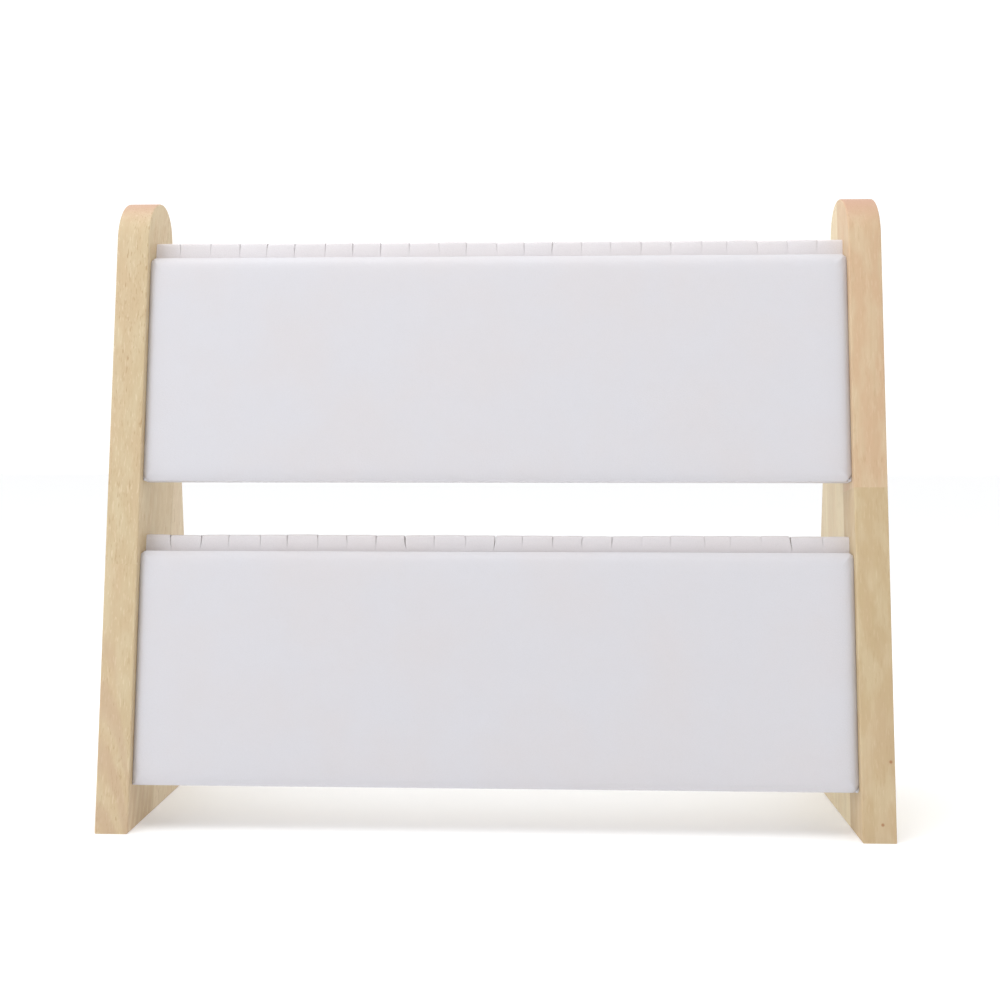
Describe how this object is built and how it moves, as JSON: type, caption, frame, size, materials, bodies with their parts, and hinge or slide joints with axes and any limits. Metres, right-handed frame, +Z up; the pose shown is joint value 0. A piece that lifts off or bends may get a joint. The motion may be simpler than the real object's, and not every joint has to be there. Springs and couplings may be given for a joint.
{
  "type": "slotted display stand",
  "caption": "Free-standing tiered display stand: tapered wooden end panels carry tilted padded boards, each with a soft slit strip above it that grips thin things.",
  "frame": {"origin": "centre of the footprint, on the surface that the end panels stand on", "axes": "+X to the right along the boards, +Y to the rear, +Z up"},
  "size_m": [0.332, 0.098, 0.2715],
  "materials": {
    "wood": "pale solid wood, thin satin lacquer",
    "pad_leatherette": "white leatherette, fine grain, satin",
    "strip_leatherette": "white leatherette, fine grain, slit front to back",
    "foam": "open-cell foam",
    "fibreboard": "bare medium-density fibreboard",
    "back_lining": "off-white lining, fine texture",
    "screw_steel": "zinc-plated steel"
  },
  "bodies": {
    "root": {"left_end_panel": "wood", "right_end_panel": "wood", "lower_pad_cover": "pad_leatherette", "lower_pad_foam": "foam", "lower_pad_board": "fibreboard", "lower_cross_board": "fibreboard", "lower_back_lining": "back_lining", "lower_slit_cover": "strip_leatherette", "lower_slit_foam": "foam", "upper_pad_cover": "pad_leatherette", "upper_pad_foam": "foam", "upper_pad_board": "fibreboard", "upper_cross_board": "fibreboard", "upper_back_lining": "back_lining", "upper_slit_cover": "strip_leatherette", "upper_slit_foam": "foam", "lower_left_bottom_screw": "screw_steel", "lower_left_top_screw": "screw_steel", "lower_right_bottom_screw": "screw_steel", "lower_right_top_screw": "screw_steel", "upper_left_bottom_screw": "screw_steel", "upper_left_top_screw": "screw_steel", "upper_right_bottom_screw": "screw_steel", "upper_right_top_screw": "screw_steel"}
  },
  "joints": []
}
